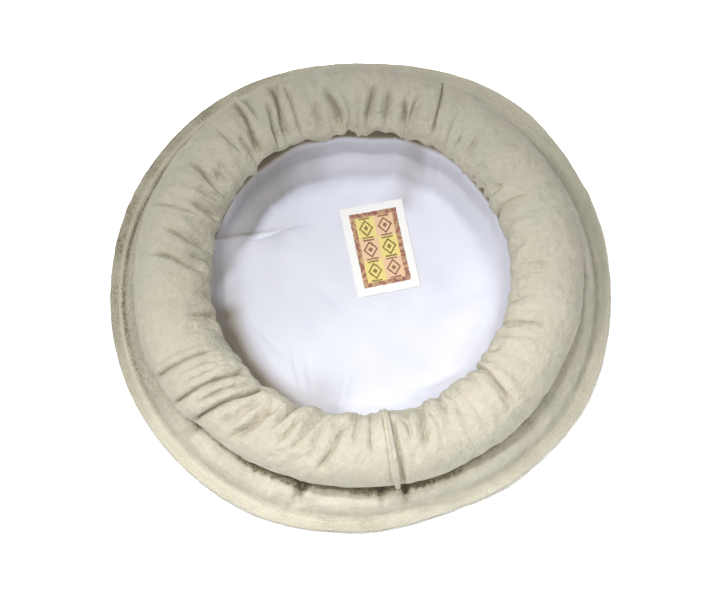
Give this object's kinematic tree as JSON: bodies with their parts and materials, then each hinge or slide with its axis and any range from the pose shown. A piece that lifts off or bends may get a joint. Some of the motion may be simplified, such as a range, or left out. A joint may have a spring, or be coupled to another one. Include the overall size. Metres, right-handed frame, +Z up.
{
  "type": "pakol, soft round-topped wool cap with a rolled brim",
  "caption": "Pakol: soft round wool cap with a thick rolled brim, stitched crown rim and cotton lining, lying on its flat crown with the head opening up.",
  "frame": {"origin": "on the floor under the middle of the crown, as the cap lies on its crown", "axes": "+Z up out of the head opening, -Y towards the front, +X to the right"},
  "size_m": [0.288, 0.2847, 0.0637],
  "materials": {
    "wool": "felted cream wool cloth, matt",
    "stitched_wool": "cream wool cloth with dense rows of stitching",
    "lining_cotton": "thin plain white cotton",
    "label_cloth": "small woven patch with a plain geometric pattern"
  },
  "bodies": {
    "root": {"crown_top": "wool", "stitched_rim": "stitched_wool", "side_wall": "wool", "rolled_brim": "wool", "lining": "lining_cotton", "label": "label_cloth"}
  },
  "joints": []
}
